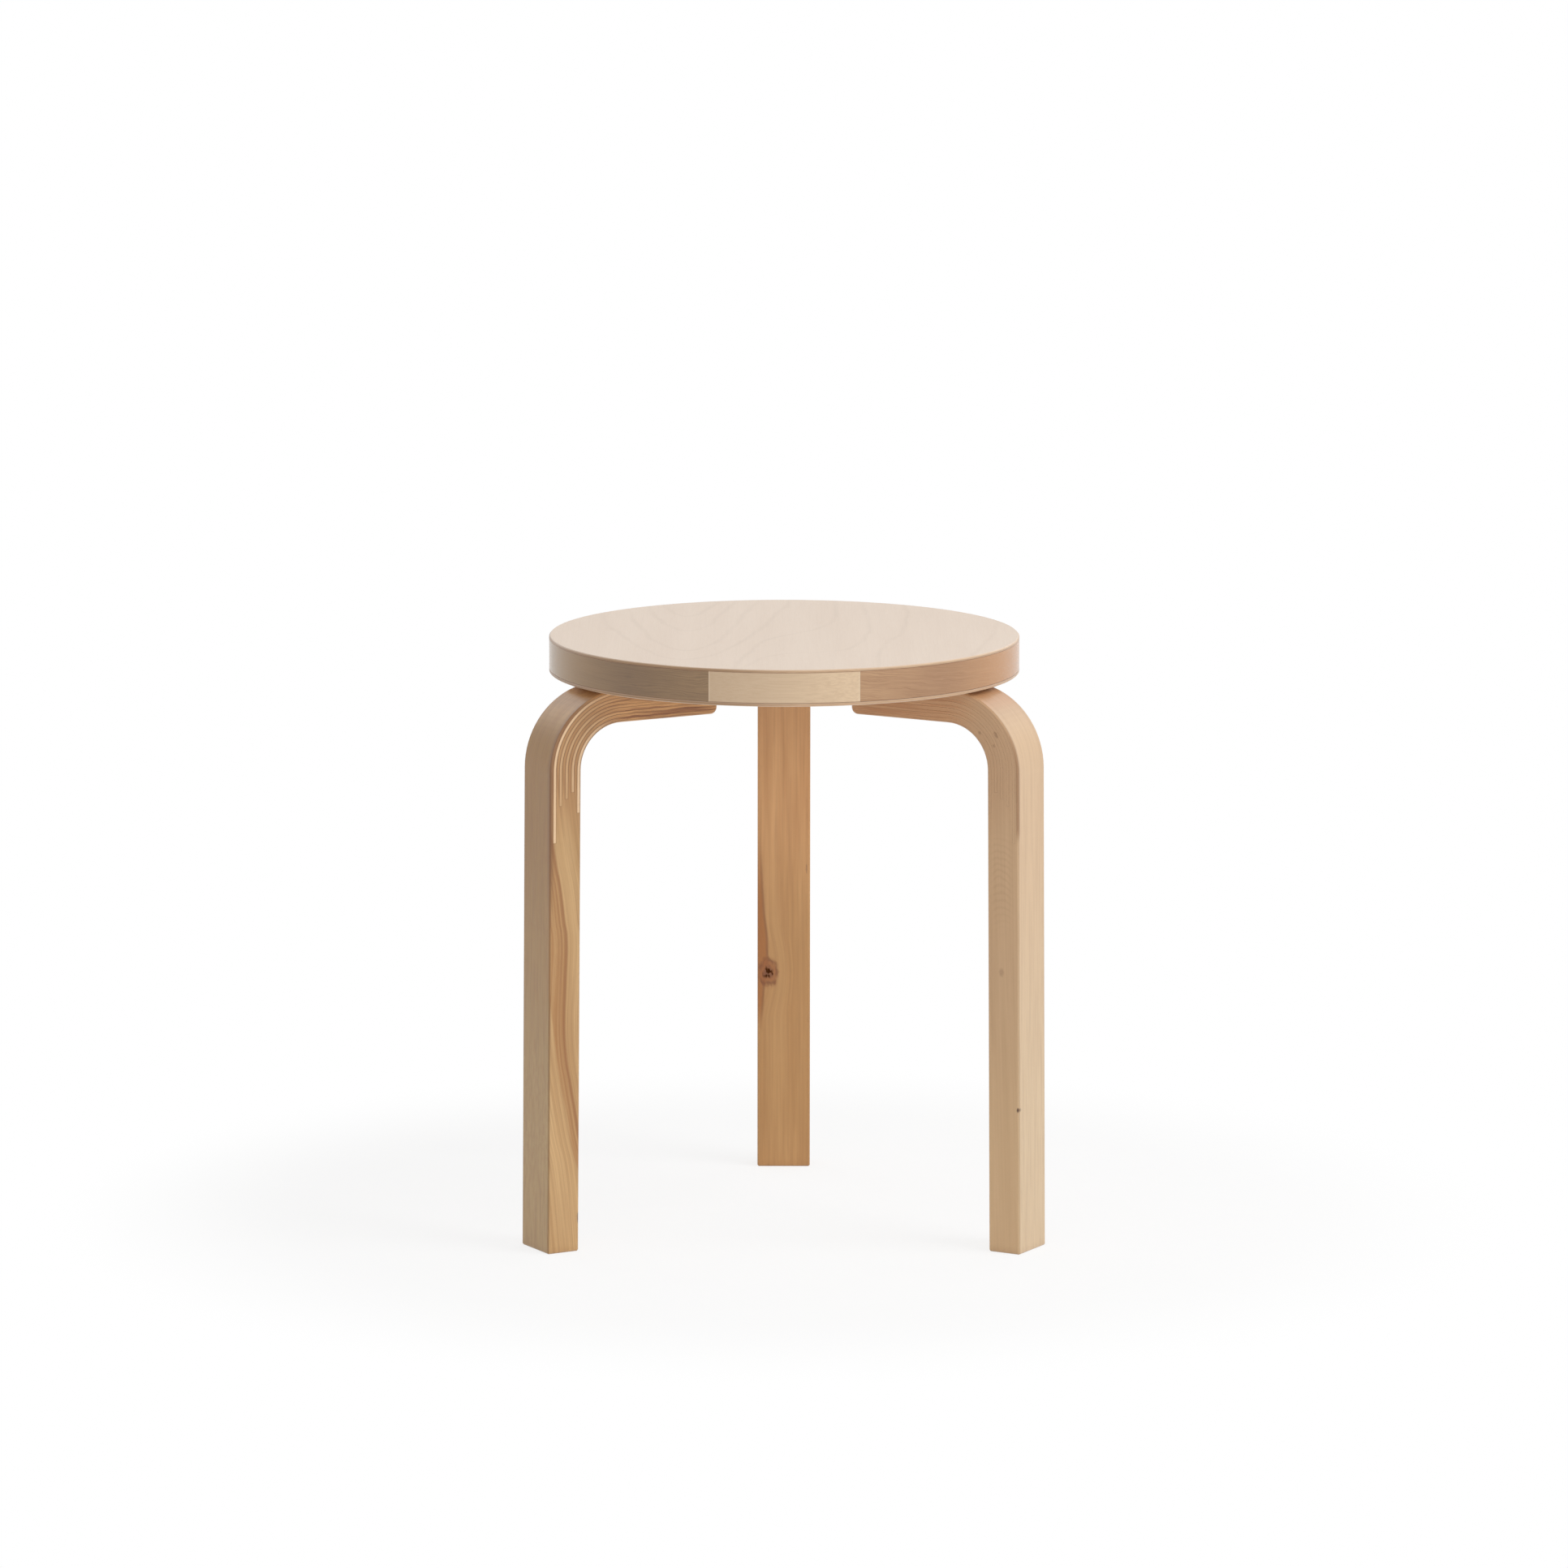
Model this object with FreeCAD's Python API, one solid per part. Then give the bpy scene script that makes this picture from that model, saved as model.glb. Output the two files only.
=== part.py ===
import FreeCAD, Part
import math
import os

# Three-legged stacking stool in natural birch.
# Millimetres. +Z is up, and the front of the stool is towards -Y, with two legs in
# front and one behind. Each piece is made round the seat's axis, and the whole is then
# moved so that the origin is on the floor, midway between the seat's front and the back foot.

# Overall sizes
stool_height = 440.0
seat_diameter = 346.0

# Seat layers, from the top down
top_skin_thickness = 2.0
frame_thickness = 22.4
bottom_skin_thickness = 2.3
top_rim_bevel = 1.0
bottom_rim_bevel = 0.6
layer_edge_bevel = 0.3

# Seat frame: two long side rails with two short rails and a core panel between them
short_rail_length = 109.0
short_rail_width = 58.0

# Legs: a straight post that bends into a short arm under the seat
leg_azimuths = {"left": 210.0, "right": 330.0, "back": 90.0}
leg_width = 40.0
leg_thickness = 25.5
leg_splay_degrees = 0.54
leg_arris_bevel = 1.0

# The seat of a stool stacked below passes between the posts with this much room
stacking_clearance = 8.5

# The bend, and the arm that is planed thinner on top where it seats
bend_inner_radius = 33.0
arm_planing = 1.1
arm_straight_length = 80.5
arm_tip_rounding = 5.0

# Saw kerfs in the top of each post, with a veneer glued into each
inner_tongue_thickness = 1.1
outer_tongue_thickness = 2.8
veneer_thickness = 2.0
glue_line = 0.05
# How far each kerf runs down the post below the bend, from the inner face outwards
first_kerf_depth = 31.0
second_kerf_depth = 15.5
third_kerf_depth = 20.0
fourth_kerf_depth = 25.0
fifth_kerf_depth = 52.0

# Countersunk wood screws that hold each arm to the seat
screw_count = 2
screw_length = 40.0
screw_diameter = 5.0
screw_head_diameter = 9.6
screw_head_angle = 90.0
screw_point_length = 5.0
screw_head_sink = 0.4
screw_hole_clearance = 0.1
# The hidden holes pass through many thin layers, so they have flat sides in place of a round wall
screw_hole_sides = 12
# Along the arm: from its tip to the first screw, and from screw to screw
screw_tip_distance = 20.0
screw_spacing = 40.0

# Levels and radii that follow from the sizes above
seat_radius = seat_diameter / 2
seat_underside = stool_height - top_skin_thickness - frame_thickness - bottom_skin_thickness
frame_bottom = seat_underside + bottom_skin_thickness
frame_top = frame_bottom + frame_thickness
arm_thickness = leg_thickness - arm_planing
arm_underside = seat_underside - arm_thickness
splay = math.radians(leg_splay_degrees)
outward = FreeCAD.Vector(math.cos(splay), 0, math.sin(splay))
downward = FreeCAD.Vector(math.sin(splay), 0, -math.cos(splay))
up = FreeCAD.Vector(0, 0, 1)
bend_centre = FreeCAD.Vector(
    seat_radius + stacking_clearance - bend_inner_radius, 0, arm_underside - bend_inner_radius
)
bend_outer_radius = bend_inner_radius + leg_thickness
bend_outer_centre = bend_centre + downward * (arm_planing / math.cos(splay))
arm_tip_radius = bend_centre.x - arm_straight_length
kerf_depths = (
    first_kerf_depth, second_kerf_depth, third_kerf_depth, fourth_kerf_depth, fifth_kerf_depth
)
kerf_width = veneer_thickness + 2 * glue_line
kerf_span = leg_thickness - inner_tongue_thickness - outer_tongue_thickness - kerf_width
kerf_pitch = kerf_span / (len(kerf_depths) - 1)
screw_head_flare = math.tan(math.radians(screw_head_angle / 2))


def point(x, z):
    """A point in the upright plane through the middle of a leg."""
    return FreeCAD.Vector(x, 0, z)


def line(start, end):
    return Part.LineSegment(start, end).toShape()


def bend_arc(centre, radius):
    """The arc from the top of a bend round to where the post begins."""
    halfway = (math.pi / 2 + splay) / 2
    middle = centre + point(math.cos(halfway), math.sin(halfway)) * radius
    return Part.Arc(centre + up * radius, middle, centre + outward * radius).toShape()


def foot_point(bend_end):
    """Where a line of the post that starts at bend_end meets the floor."""
    return bend_end + downward * (bend_end.z / math.cos(splay))


def across_leg(edges, width):
    """A flat outline in the middle plane of a leg, made solid across its width."""
    face = Part.Face(Part.Wire(Part.sortEdges(edges)[0]))
    face.translate(FreeCAD.Vector(0, -width / 2, 0))
    return face.extrude(FreeCAD.Vector(0, width, 0))


def leg_blank():
    """The whole bent leg, before it is divided into stock and veneers."""
    inner_end = bend_centre + outward * bend_inner_radius
    outer_end = bend_outer_centre + outward * bend_outer_radius
    tip_top = point(arm_tip_radius, seat_underside)
    tip_side = point(arm_tip_radius, arm_underside + arm_tip_rounding)
    tip_below = point(arm_tip_radius + arm_tip_rounding, arm_underside)
    tip_centre = point(tip_below.x, tip_side.z)
    tip_middle = tip_centre - point(math.sqrt(0.5), math.sqrt(0.5)) * arm_tip_rounding
    edges = [
        line(tip_top, bend_outer_centre + up * bend_outer_radius),
        bend_arc(bend_outer_centre, bend_outer_radius),
        line(outer_end, foot_point(outer_end)),
        line(foot_point(outer_end), foot_point(inner_end)),
        line(foot_point(inner_end), inner_end),
        bend_arc(bend_centre, bend_inner_radius),
        line(bend_centre + up * bend_inner_radius, tip_below),
        Part.Arc(tip_below, tip_middle, tip_side).toShape(),
        line(tip_side, tip_top),
    ]
    blank = across_leg(edges, leg_width)
    return blank.makeChamfer(leg_arris_bevel, arrises(blank))


def arrises(blank):
    """The long edges on both sides of a leg and the edges round its foot."""
    chosen = []
    for edge in blank.Edges:
        box = edge.BoundBox
        if box.YLength < leg_width / 2 or box.ZMax < leg_thickness / 2:
            chosen.append(edge)
    return chosen


def lamination(near, far, depth, width):
    """A layer that follows the bend, between two distances from the inner face."""
    start = point(arm_tip_radius - leg_thickness, bend_centre.z)
    near_radius = bend_inner_radius + near
    far_radius = bend_inner_radius + far
    near_end = bend_centre + outward * near_radius
    far_end = bend_centre + outward * far_radius
    edges = [
        line(start + up * far_radius, bend_centre + up * far_radius),
        bend_arc(bend_centre, far_radius),
        line(far_end, far_end + downward * depth),
        line(far_end + downward * depth, near_end + downward * depth),
        line(near_end + downward * depth, near_end),
        bend_arc(bend_centre, near_radius),
        line(bend_centre + up * near_radius, start + up * near_radius),
        line(start + up * near_radius, start + up * far_radius),
    ]
    return across_leg(edges, width)


def kerf(index):
    near = inner_tongue_thickness + index * kerf_pitch
    return lamination(near, near + kerf_width, kerf_depths[index], 2 * leg_width)


def veneer(index, blank):
    near = inner_tongue_thickness + index * kerf_pitch + glue_line
    depth = kerf_depths[index] - glue_line
    return blank.common(lamination(near, near + veneer_thickness, depth, 2 * leg_width))


def turned_solid(outline):
    """A solid of revolution about the Z axis, from its outline beside the axis."""
    face = Part.Face(Part.makePolygon(outline + outline[:1]))
    return face.revolve(FreeCAD.Vector(0, 0, 0), up, 360)


def screw():
    """A countersunk screw, head down, with the face of its head at the origin."""
    head_radius = screw_head_diameter / 2
    shank_radius = screw_diameter / 2
    return turned_solid([
        point(0, 0),
        point(head_radius, 0),
        point(shank_radius, (head_radius - shank_radius) / screw_head_flare),
        point(shank_radius, screw_length - screw_point_length),
        point(0, screw_length),
    ])


def flat_sided_ring(radius, height):
    """A ring of short straight sides that just clears a circle."""
    reach = radius / math.cos(math.pi / screw_hole_sides)
    corners = []
    for index in range(screw_hole_sides):
        angle = 2 * math.pi * index / screw_hole_sides
        corners.append(FreeCAD.Vector(reach * math.cos(angle), reach * math.sin(angle), height))
    return Part.makePolygon(corners + corners[:1])


def screw_hole():
    """The drilled and countersunk hole for one screw, open below the arm."""
    mouth = 2 * screw_head_sink
    head_radius = screw_head_diameter / 2 + screw_hole_clearance
    shank_radius = screw_diameter / 2 + screw_hole_clearance
    rings = [
        flat_sided_ring(head_radius + mouth * screw_head_flare, -mouth),
        flat_sided_ring(shank_radius, (head_radius - shank_radius) / screw_head_flare),
        flat_sided_ring(shank_radius, screw_length + screw_hole_clearance),
    ]
    return Part.makeLoft(rings, True, True)


def at_screws(shape):
    """Copies of a shape at each screw place of one leg."""
    copies = []
    for index in range(screw_count):
        along = arm_tip_radius + screw_tip_distance + index * screw_spacing
        copy = shape.copy()
        copy.translate(point(along, arm_underside + screw_head_sink))
        copies.append(copy)
    return Part.makeCompound(copies)


def turned(shape, azimuth):
    """A shape of a leg, turned from the +X direction to the leg's own place."""
    copy = shape.copy()
    copy.rotate(FreeCAD.Vector(0, 0, 0), up, azimuth)
    return copy


def leg_pieces(side, azimuth):
    """The stock, veneers and screws of one leg."""
    blank = leg_blank()
    stock = blank
    for index in range(len(kerf_depths)):
        stock = stock.cut(kerf(index))
    holes = at_screws(screw_hole())
    pieces = {side + "_leg": turned(stock.cut(holes), azimuth)}
    for index in range(len(kerf_depths)):
        name = side + "_leg_veneer_" + str(index + 1)
        pieces[name] = turned(veneer(index, blank).cut(holes), azimuth)
    pieces[side + "_leg_screws"] = turned(at_screws(screw()), azimuth)
    return pieces


def top_skin():
    return turned_solid([
        point(0, frame_top),
        point(seat_radius, frame_top),
        point(seat_radius, stool_height - top_rim_bevel),
        point(seat_radius - top_rim_bevel, stool_height),
        point(0, stool_height),
    ])


def bottom_skin():
    return turned_solid([
        point(0, seat_underside),
        point(seat_radius - bottom_rim_bevel, seat_underside),
        point(seat_radius, seat_underside + bottom_rim_bevel),
        point(seat_radius, frame_bottom),
        point(0, frame_bottom),
    ])


def frame_disc():
    """The middle layer of the seat, bevelled where it meets the skins."""
    return turned_solid([
        point(0, frame_bottom),
        point(seat_radius - layer_edge_bevel, frame_bottom),
        point(seat_radius, frame_bottom + layer_edge_bevel),
        point(seat_radius, frame_top - layer_edge_bevel),
        point(seat_radius - layer_edge_bevel, frame_top),
        point(0, frame_top),
    ])


def block(x_low, x_high, y_low, y_high):
    """A block as high as the stool over a rectangle of the floor."""
    corner = FreeCAD.Vector(x_low, y_low, 0)
    return Part.makeBox(x_high - x_low, y_high - y_low, stool_height, corner)


def frame_pieces():
    """The rails and the core panel, cut from the middle layer along the glue lines."""
    disc = frame_disc()
    half_length = short_rail_length / 2
    inner_edge = seat_radius - short_rail_width
    rail = half_length - glue_line
    outside = seat_diameter
    blocks = {
        "seat_rail_left": block(-outside, -half_length, -outside, outside),
        "seat_rail_right": block(half_length, outside, -outside, outside),
        "seat_rail_front": block(-rail, rail, -outside, -inner_edge),
        "seat_rail_back": block(-rail, rail, inner_edge, outside),
        "seat_core": block(-rail, rail, glue_line - inner_edge, inner_edge - glue_line),
    }
    return {name: disc.common(shape) for name, shape in blocks.items()}


def seat_pieces():
    """Every layer of the seat, with the screw holes of all legs drilled from below."""
    pieces = {"seat_bottom_skin": bottom_skin()}
    pieces.update(frame_pieces())
    for azimuth in leg_azimuths.values():
        holes = turned(at_screws(screw_hole()), azimuth)
        for name in pieces:
            pieces[name] = pieces[name].cut(holes)
    pieces["seat_top_skin"] = top_skin()
    return pieces


def footprint_shift():
    """How far everything moves from the seat's axis to the middle of the footprint."""
    back_reach = foot_point(bend_outer_centre + outward * bend_outer_radius).x
    return FreeCAD.Vector(0, (seat_radius - back_reach) / 2, 0)


def all_pieces():
    pieces = seat_pieces()
    for side, azimuth in leg_azimuths.items():
        pieces.update(leg_pieces(side, azimuth))
    return pieces


os.makedirs("parts", exist_ok=True)
for name, shape in all_pieces().items():
    shape.translate(footprint_shift())
    shape.exportStep("parts/" + name + ".step")
    print(name, len(shape.Solids), round(shape.Volume, 1), shape.isValid())
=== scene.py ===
import bmesh
import bpy
import math
from mathutils import Matrix, Vector
from types import SimpleNamespace


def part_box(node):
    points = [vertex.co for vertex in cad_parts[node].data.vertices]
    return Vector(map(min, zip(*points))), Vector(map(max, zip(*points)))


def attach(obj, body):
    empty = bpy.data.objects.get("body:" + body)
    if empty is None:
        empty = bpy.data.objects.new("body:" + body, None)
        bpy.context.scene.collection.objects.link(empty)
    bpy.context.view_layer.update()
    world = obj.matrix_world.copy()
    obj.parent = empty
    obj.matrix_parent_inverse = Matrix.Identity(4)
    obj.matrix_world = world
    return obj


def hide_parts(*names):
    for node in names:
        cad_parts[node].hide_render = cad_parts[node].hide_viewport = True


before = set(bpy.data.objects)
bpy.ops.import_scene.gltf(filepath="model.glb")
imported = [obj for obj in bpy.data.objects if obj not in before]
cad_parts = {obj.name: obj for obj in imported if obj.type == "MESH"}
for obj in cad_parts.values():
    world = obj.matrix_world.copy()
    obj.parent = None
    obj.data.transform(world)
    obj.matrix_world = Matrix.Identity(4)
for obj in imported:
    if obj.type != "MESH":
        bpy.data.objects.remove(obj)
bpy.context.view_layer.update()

# Lengths in this script are in millimetres, in the CAD's frame, unless a name says metres
millimetre = 0.001

# The camera, as it stood for the photograph, which is 1932 pixels wide, with its angles in radians
camera_place = Vector((-4.5, -6318.3, 1394.8))
camera_turn = 0.0007
camera_tilt_down = 0.16775
camera_roll = 0.0010
camera_focal_pixels = 10668.7
photo_width_pixels = 1932
sensor_width = 36.0
camera_reach_metres = 100.0

# The studio: a wide floor that looks white beyond the reach of the stool's shadow, and has this share of
# white inside it, and lamps as (name, azimuth, elevation, distance, size, watts), with the distance and
# size of the lamps in metres
floor_reach = 30000.0
shadow_reach = 560.0
shadow_whiteness = 0.8
sky_strength = 0.5
lamp_aim_metres = Vector((0.0, 0.0, 0.2))
lamps = (
    ("key", 335.0, 45.0, 3.0, 1.6, 34.0),
    ("fill", 255.0, 15.0, 3.5, 2.0, 14.0),
    ("back_right", 50.0, 32.0, 3.0, 1.6, 4.8),
    ("back_left", 131.0, 32.0, 3.0, 1.6, 5.0),
)

# The seat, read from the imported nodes
seat_low, seat_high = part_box("seat_top_skin")
seat_axis_y = (seat_low.y + seat_high.y) / 2 / millimetre
seat_radius = (seat_high.x - seat_low.x) / 2 / millimetre
seat_height = seat_high.z / millimetre
rail_low, rail_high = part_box("seat_rail_front")
frame_bottom = rail_low.z / millimetre
frame_top = rail_high.z / millimetre
half_short_rail = rail_high.x / millimetre

# The legs: their directions from the seat's axis, and their bend, as distances from that axis and the floor
leg_azimuths = {"left": 210.0, "right": 330.0, "back": 90.0}
bend_centre_radius = 148.5
bend_centre_height = 355.9
bend_inner_radius = 33.0
leg_splay_degrees = 0.54
leg_thickness = 25.5
leg_width = 40.0

# The saw kerfs, as distances from the leg's inner face and down from the bend
first_kerf = 1.1
kerf_pitch = 4.875
kerf_width = 2.1
kerf_depths = (31.0, 15.5, 20.0, 25.0, 52.0)

# The screws in each arm: their distances from the seat's axis, and the sizes of one screw. Its recess
# narrows by the taper at its floor, and faces that meet below the last angle are shaded as one
screw_places = (88.0, 128.0)
screw_length = 40.0
screw_point_length = 5.0
screw_point_radius = 0.05
screw_shank_radius = 2.5
screw_head_radius = 4.8
screw_head_height = 2.3
screw_head_bevel = 0.2
screw_sides = 48
recess_reach = 2.4
recess_half_width = 0.6
recess_depth = 1.7
recess_taper = 0.6
smooth_below_degrees = 30


def srgb(red, green, blue):
    """A colour given on the usual 0 to 255 scale, as Blender's linear colour."""
    linear = [((value / 255 + 0.055) / 1.055) ** 2.4 for value in (red, green, blue)]
    return (*linear, 1.0)


# Lacquer and bare wood: the weight and roughness of the coat, the roughness and shine of the wood, how
# much smoother and rougher its pores make it, how high they stand, and how far edges are softened
satin_coat = 0.4
satin_coat_roughness = 0.3
polished_coat = 0.7
polished_coat_roughness = 0.12
skin_roughness = 0.44
rail_roughness = 0.46
leg_roughness = 0.42
wood_shine = 0.5
pores_smoother = 0.06
pores_rougher = 0.08
pore_height = 0.015
edge_softness = 0.15
edge_samples = 4

# Growth lines: how far they wander and slant across a leg, and how uneven their spacing is
grain_wander = 9.0
grain_slant = 0.35
grain_unevenness = 2.5

# Colours of the seat. A stain that lies over a colour is given as (strength, colour)
skin_light = srgb(232, 209, 186)
skin_warm = srgb(225, 200, 176)
skin_dark = srgb(202, 177, 152)
glue_brown = srgb(146, 104, 72)
skin_streaks = (0.14, skin_dark)
skin_lines = (0.26, skin_dark)
edge_grain = (0.35, srgb(176, 136, 98))
edge_joint = (0.35, glue_brown)
edge_ply = (0.3, glue_brown)
rail_joint = (0.45, glue_brown)
short_rail_shaded_left = srgb(204, 176, 144)
short_rail_right = srgb(229, 201, 167)
short_rail_streaks = (0.4, srgb(194, 161, 125))
short_rail_flecks = (0.14, srgb(170, 138, 106))
short_rail_ends = (0.35, srgb(238, 214, 184))

# The edges of the skins, as (height of the middle, colour at the left, colour at the right), where the darker
# colour at the left is painted shade
top_edge = (seat_height - 1.2, srgb(164, 130, 94), srgb(222, 189, 153))
bottom_edge = (frame_bottom - 1.1, srgb(160, 126, 92), srgb(216, 180, 144))

# The long rails. The slant is how much the rings in their end grain rise to the left
side_rails = {
    # The left rail is darker partly as painted shade, for it turns away from the lamps, and partly as its own
    # wood
    "left": {
        "end_dark": srgb(108, 80, 52), "end_light": srgb(154, 121, 82), "flank": srgb(152, 114, 60),
        "slant": 0.0, "seed": 11.0,
    },
    "right": {
        "end_dark": srgb(148, 103, 68), "end_light": srgb(196, 155, 115), "flank": srgb(192, 134, 76),
        "slant": 0.12, "seed": 17.0,
    },
}

# The figure of the skins: arches round the heart, as (distance of the tip to the back of the seat's axis,
# narrowness), and lines right of them, as (distance to the back, distance to the right) of that axis
heart_x = -72.0
figure_line_reach = 3.6
arches = ((87.0, 0.17), (-81.0, 0.095), (-122.0, 0.05), (15.0, 0.13))
long_lines = (
    ((-124.0, -31.0), (-98.0, -27.0), (-37.0, -15.0), (29.0, 26.0), (61.0, 36.0), (150.0, 38.0)),
    ((-141.0, -24.0), (-102.0, -8.0), (-76.0, 44.0), (-37.0, 56.0), (7.0, 62.0), (134.0, 59.0)),
    ((-123.0, 68.0), (-80.0, 70.0), (-28.0, 78.0), (16.0, 88.0), (106.0, 91.0)),
    ((-90.0, 138.0), (-10.0, 152.0), (43.0, 158.0)),
)

# Colours and figure of each leg. Its bend and glue are stains, the plain numbers are strengths, and the
# spacing of the growth lines is a length
leg_looks = {
    # The left leg's outer colours are darker as painted shade, for its outer face turns away from the lamps
    "left": {
        "light": srgb(217, 177, 124), "dark": srgb(200, 157, 104), "line": srgb(156, 108, 62),
        "outer": srgb(174, 142, 90), "outer_top_shade": srgb(148, 106, 46), "arris": srgb(112, 72, 42),
        "painted_seat_shadow": srgb(84, 44, 20), "seed": 3.0,
        "streaks": 0.42, "outer_streaks": 0.36, "lines": 0.15, "line_spacing": 5.2,
        "bend": (0.75, srgb(190, 140, 92)), "glue": (0.8, srgb(130, 84, 48)),
        "veneer": 1.0, "veneer_light": srgb(255, 219, 176), "veneer_dark": srgb(226, 184, 134),
        "flame": 0.9, "flame_light": srgb(227, 172, 111), "flame_dark": srgb(140, 84, 44),
    },
    "right": {
        "light": srgb(206, 170, 130), "dark": srgb(194, 157, 117), "line": srgb(160, 120, 84),
        "outer": srgb(227, 200, 162), "outer_top_shade": srgb(224, 191, 153), "arris": srgb(158, 118, 80),
        "painted_seat_shadow": srgb(212, 128, 66), "seed": 8.0,
        "streaks": 0.2, "outer_streaks": 0.1, "lines": 0.06, "line_spacing": 5.0,
        "bend": (0.4, srgb(186, 142, 104)), "glue": (0.02, srgb(148, 104, 72)),
        "veneer": 0.08, "veneer_light": srgb(214, 178, 140), "veneer_dark": srgb(206, 168, 128),
        "flame": 0.75, "flame_light": srgb(198, 145, 97), "flame_dark": srgb(180, 124, 78),
    },
    # The back leg's light and dark are paler partly as painted light, for its upper part lies in the seat's
    # shade
    "back": {
        "light": srgb(226, 175, 118), "dark": srgb(210, 156, 100), "line": srgb(166, 112, 66),
        "outer": srgb(216, 178, 128), "outer_top_shade": srgb(214, 172, 122), "arris": srgb(166, 120, 74),
        "painted_seat_shadow": srgb(176, 118, 70), "seed": 14.0,
        "streaks": 0.36, "outer_streaks": 0.15, "lines": 0.1, "line_spacing": 3.0,
        "bend": (0.2, srgb(200, 150, 100)), "glue": (0.4, srgb(130, 88, 56)),
        "veneer": 0.6, "veneer_light": srgb(236, 196, 150), "veneer_dark": srgb(220, 178, 132),
        "flame": 0.6, "flame_light": srgb(206, 154, 100), "flame_dark": srgb(150, 100, 58),
    },
}
# What all legs share: strengths, and fades as (where the feature is gone, where it is full), in heights
# for the outer face's painted shade and the foot, and else in distances along the leg from the start of the
# bend
outer_cover = 0.85
painted_seat_shadow_cover = 0.9
pore_strength = 0.2
arris_shade_strength = 0.35
foot_strength = 0.25
flame_light_strength = 0.75
veneer_glue_share = 0.35
outer_top_shade_fade = (60.0, 350.0)
foot_fade = (7.0, 0.0)
bend_fade = (-60.0, -5.0)
painted_seat_shadow_fade = (36.0, 52.0)
flame_fade = (38.0, 80.0)

# How the grain leans in each leg, as (height, how far the lines have moved out from the inner face)
leg_leans = {
    "left": (
        (0.0, -13.0), (60.0, -6.5), (88.0, 0.0), (100.0, 2.3), (127.0, 7.5), (147.0, 11.0), (167.0, 12.5),
        (200.0, 11.7), (233.0, 11.0), (246.0, 12.9), (264.0, 15.2), (276.0, 17.2), (286.0, 19.5),
        (330.0, 26.0),
    ),
    "right": ((0.0, 3.0), (120.0, 0.0), (260.0, -3.0), (360.0, -4.0)),
    "back": ((0.0, 0.0), (140.0, 1.5), (260.0, 0.5), (360.0, 0.0)),
}

# Below, a spot on a leg is given as ((distance along it, distance out or across), length, width), and
# fades are heights in the heartwood, the low wood and the knot's streak, and else distances along the leg

# The left leg's heartwood streak: its inner edge is where the leaning grain passes the inner face at this
# height, its outer edge is (height, distance out from the inner face), and the dark lines in it are
# (distance from its inner edge, reach, strength)
heartwood_top_fade = (332.0, 296.0)
heartwood_outer_edge = (
    (58.0, 0.0), (80.0, 6.9), (103.0, 10.6), (120.0, 14.8), (140.0, 18.8), (160.0, 21.4), (195.0, 26.5),
)
heartwood_lines = ((0.9, 2.2, 0.72), (4.6, 1.2, 0.42))
heartwood_brown = srgb(174, 120, 66)
heartwood_line_brown = srgb(154, 100, 54)
# A dark nick at the same leg's inner arris, low down, and painted shade along the outer arris of its bend
left_leg_nick = ((-331.0, 0.6), 5.5, 1.4)
nick_stain = (0.6, srgb(84, 54, 32))
bend_edge_shade = (0.62, srgb(122, 76, 38))
bend_edge_shade_fades = ((-130.0, -50.0), (66.0, 40.0))

# The right leg: yellower wood low down, flecks, a faint smudge, a pin knot, curly grain and painted shade by
# an arris of its bend
yellow_stain = (0.35, srgb(224, 190, 142))
yellow_fade = (230.0, 60.0)
right_leg_flecks = (
    ((27.2, 15.3), 3.4, 1.6),
    ((36.9, 5.2), 2.4, 1.5),
    ((21.0, 9.8), 2.0, 0.9),
)
fleck_stain = (0.5, srgb(130, 90, 56))
right_leg_smudge = ((-147.4, 11.2), 4.0, 2.6)
smudge_stain = (0.35, srgb(140, 102, 74))
pin_knot = ((-248.3, 24.6), 2.1, 1.5)
pin_knot_stain = (0.95, srgb(76, 38, 18))
curl_middle = 12.0
curl_bow = 0.035
curl_per_millimetre = 1.25
curl_stain = (0.13, srgb(150, 112, 76))
curl_fades = ((-125.0, -90.0), (-35.0, -62.0))
arris_line_shade = (0.6, srgb(134, 88, 50))
arris_line_shade_fades = ((-52.0, -40.0), (40.0, 2.0))

# The back leg: browner low down and paler above, partly as painted light beneath the seat, a fleck, a knot at
# (distance along the leg, distance across it) that pushes the grain aside, and the reddish streak that runs
# from it, as (height, distance across the leg)
brown_below_painted_light_above = (0.45, srgb(166, 124, 66))
brown_below_fade = (292.0, 165.0)
back_leg_fleck = ((-123.9, -17.3), 5.0, 0.9)
back_fleck_stain = (0.4, srgb(128, 88, 58))
knot_centre = (-204.4, 12.0)
knot_lengthening = 1.5
knot_push = 6.0
knot_heart_radius = 3.4
knot_ring_radius = 6.6
knot_streak = (
    (100.0, 18.0), (117.0, 17.0), (145.0, 15.0), (162.0, 12.8), (200.0, 15.5), (250.0, 18.0), (300.0, 19.5),
)
knot_streak_fades = ((104.0, 132.0), (276.0, 196.0))
knot_streak_stain = (0.8, srgb(166, 98, 30))
knot_streak_line_stain = (0.55, srgb(124, 64, 16))
knot_stain = (0.8, srgb(158, 92, 36))
knot_ring_brown = srgb(116, 60, 16)
knot_heart_stain = (0.75, srgb(120, 68, 34))
knot_crack_stain = (0.9, srgb(62, 32, 12))

# The screws' zinc and the floor
zinc_light = srgb(196, 196, 192)
zinc_dark = srgb(160, 160, 158)
zinc_wear_height = 0.01
floor_light = srgb(254, 254, 254)
floor_dark = srgb(250, 250, 250)
floor_roughness = 0.9


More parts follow.
